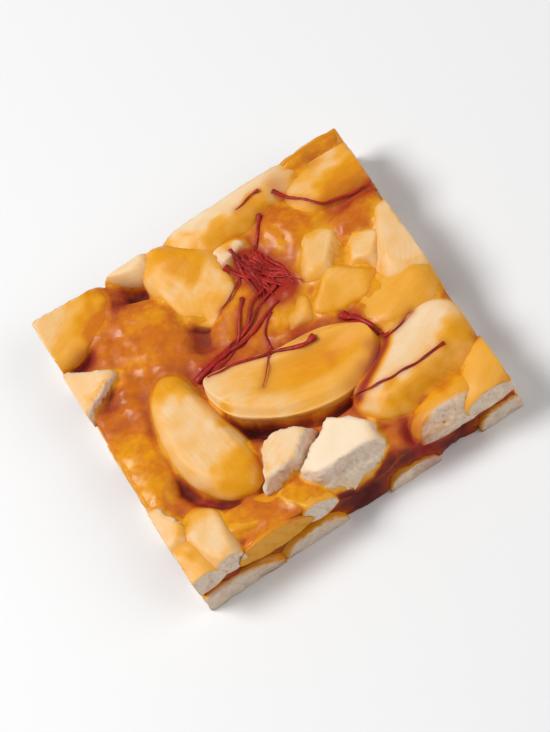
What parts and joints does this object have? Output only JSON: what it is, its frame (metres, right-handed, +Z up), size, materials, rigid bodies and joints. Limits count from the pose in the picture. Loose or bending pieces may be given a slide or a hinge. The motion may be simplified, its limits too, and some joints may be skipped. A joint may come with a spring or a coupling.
{
  "type": "cashew brittle piece",
  "caption": "Square of cashew brittle: cashew halves and broken bits set in a flat slab of amber cooked sugar, cut along four sides.",
  "frame": {"origin": "middle of the flat underside", "axes": "+X along the cut front edge, the longest side; +Y to the back; +Z up through the thickness"},
  "size_m": [0.056, 0.054, 0.0117],
  "materials": {
    "sugar": "gloss",
    "cashew": "satin"
  },
  "bodies": {
    "root": {"cashew_back_edge": "cashew", "cashew_back_edge_right": "cashew", "cashew_back_middle": "cashew", "cashew_base_01": "cashew", "cashew_base_02": "cashew", "cashew_base_03": "cashew", "cashew_base_04": "cashew", "cashew_base_05": "cashew", "cashew_base_06": "cashew", "cashew_base_07": "cashew", "cashew_base_08": "cashew", "cashew_base_09": "cashew", "cashew_base_10": "cashew", "cashew_base_11": "cashew", "cashew_base_12": "cashew", "cashew_corner_back_left": "cashew", "cashew_corner_back_right": "cashew", "cashew_corner_front_left": "cashew", "cashew_corner_front_right": "cashew", "cashew_fan_front": "cashew", "cashew_front_broken": "cashew", "cashew_front_edge": "cashew", "cashew_front_edge_right": "cashew", "cashew_front_ridge": "cashew", "cashew_front_right": "cashew", "cashew_front_upright": "cashew", "cashew_glazed_back": "cashew", "cashew_glazed_right": "cashew", "cashew_left_edge": "cashew", "cashew_long_left": "cashew", "cashew_open_centre": "cashew", "cashew_right_edge": "cashew", "cashew_sunk_centre": "cashew", "cashew_sunk_left": "cashew", "cashew_sunk_right": "cashew", "chip_back_edge": "cashew", "chip_back_middle": "cashew", "chip_centre": "cashew", "chip_fan_left": "cashew", "chip_fan_right": "cashew", "chip_front_pale": "cashew", "chip_glazed_front": "cashew", "chip_left_front": "cashew", "chip_left_wedge": "cashew", "sugar_slab": "sugar"}
  },
  "joints": []
}
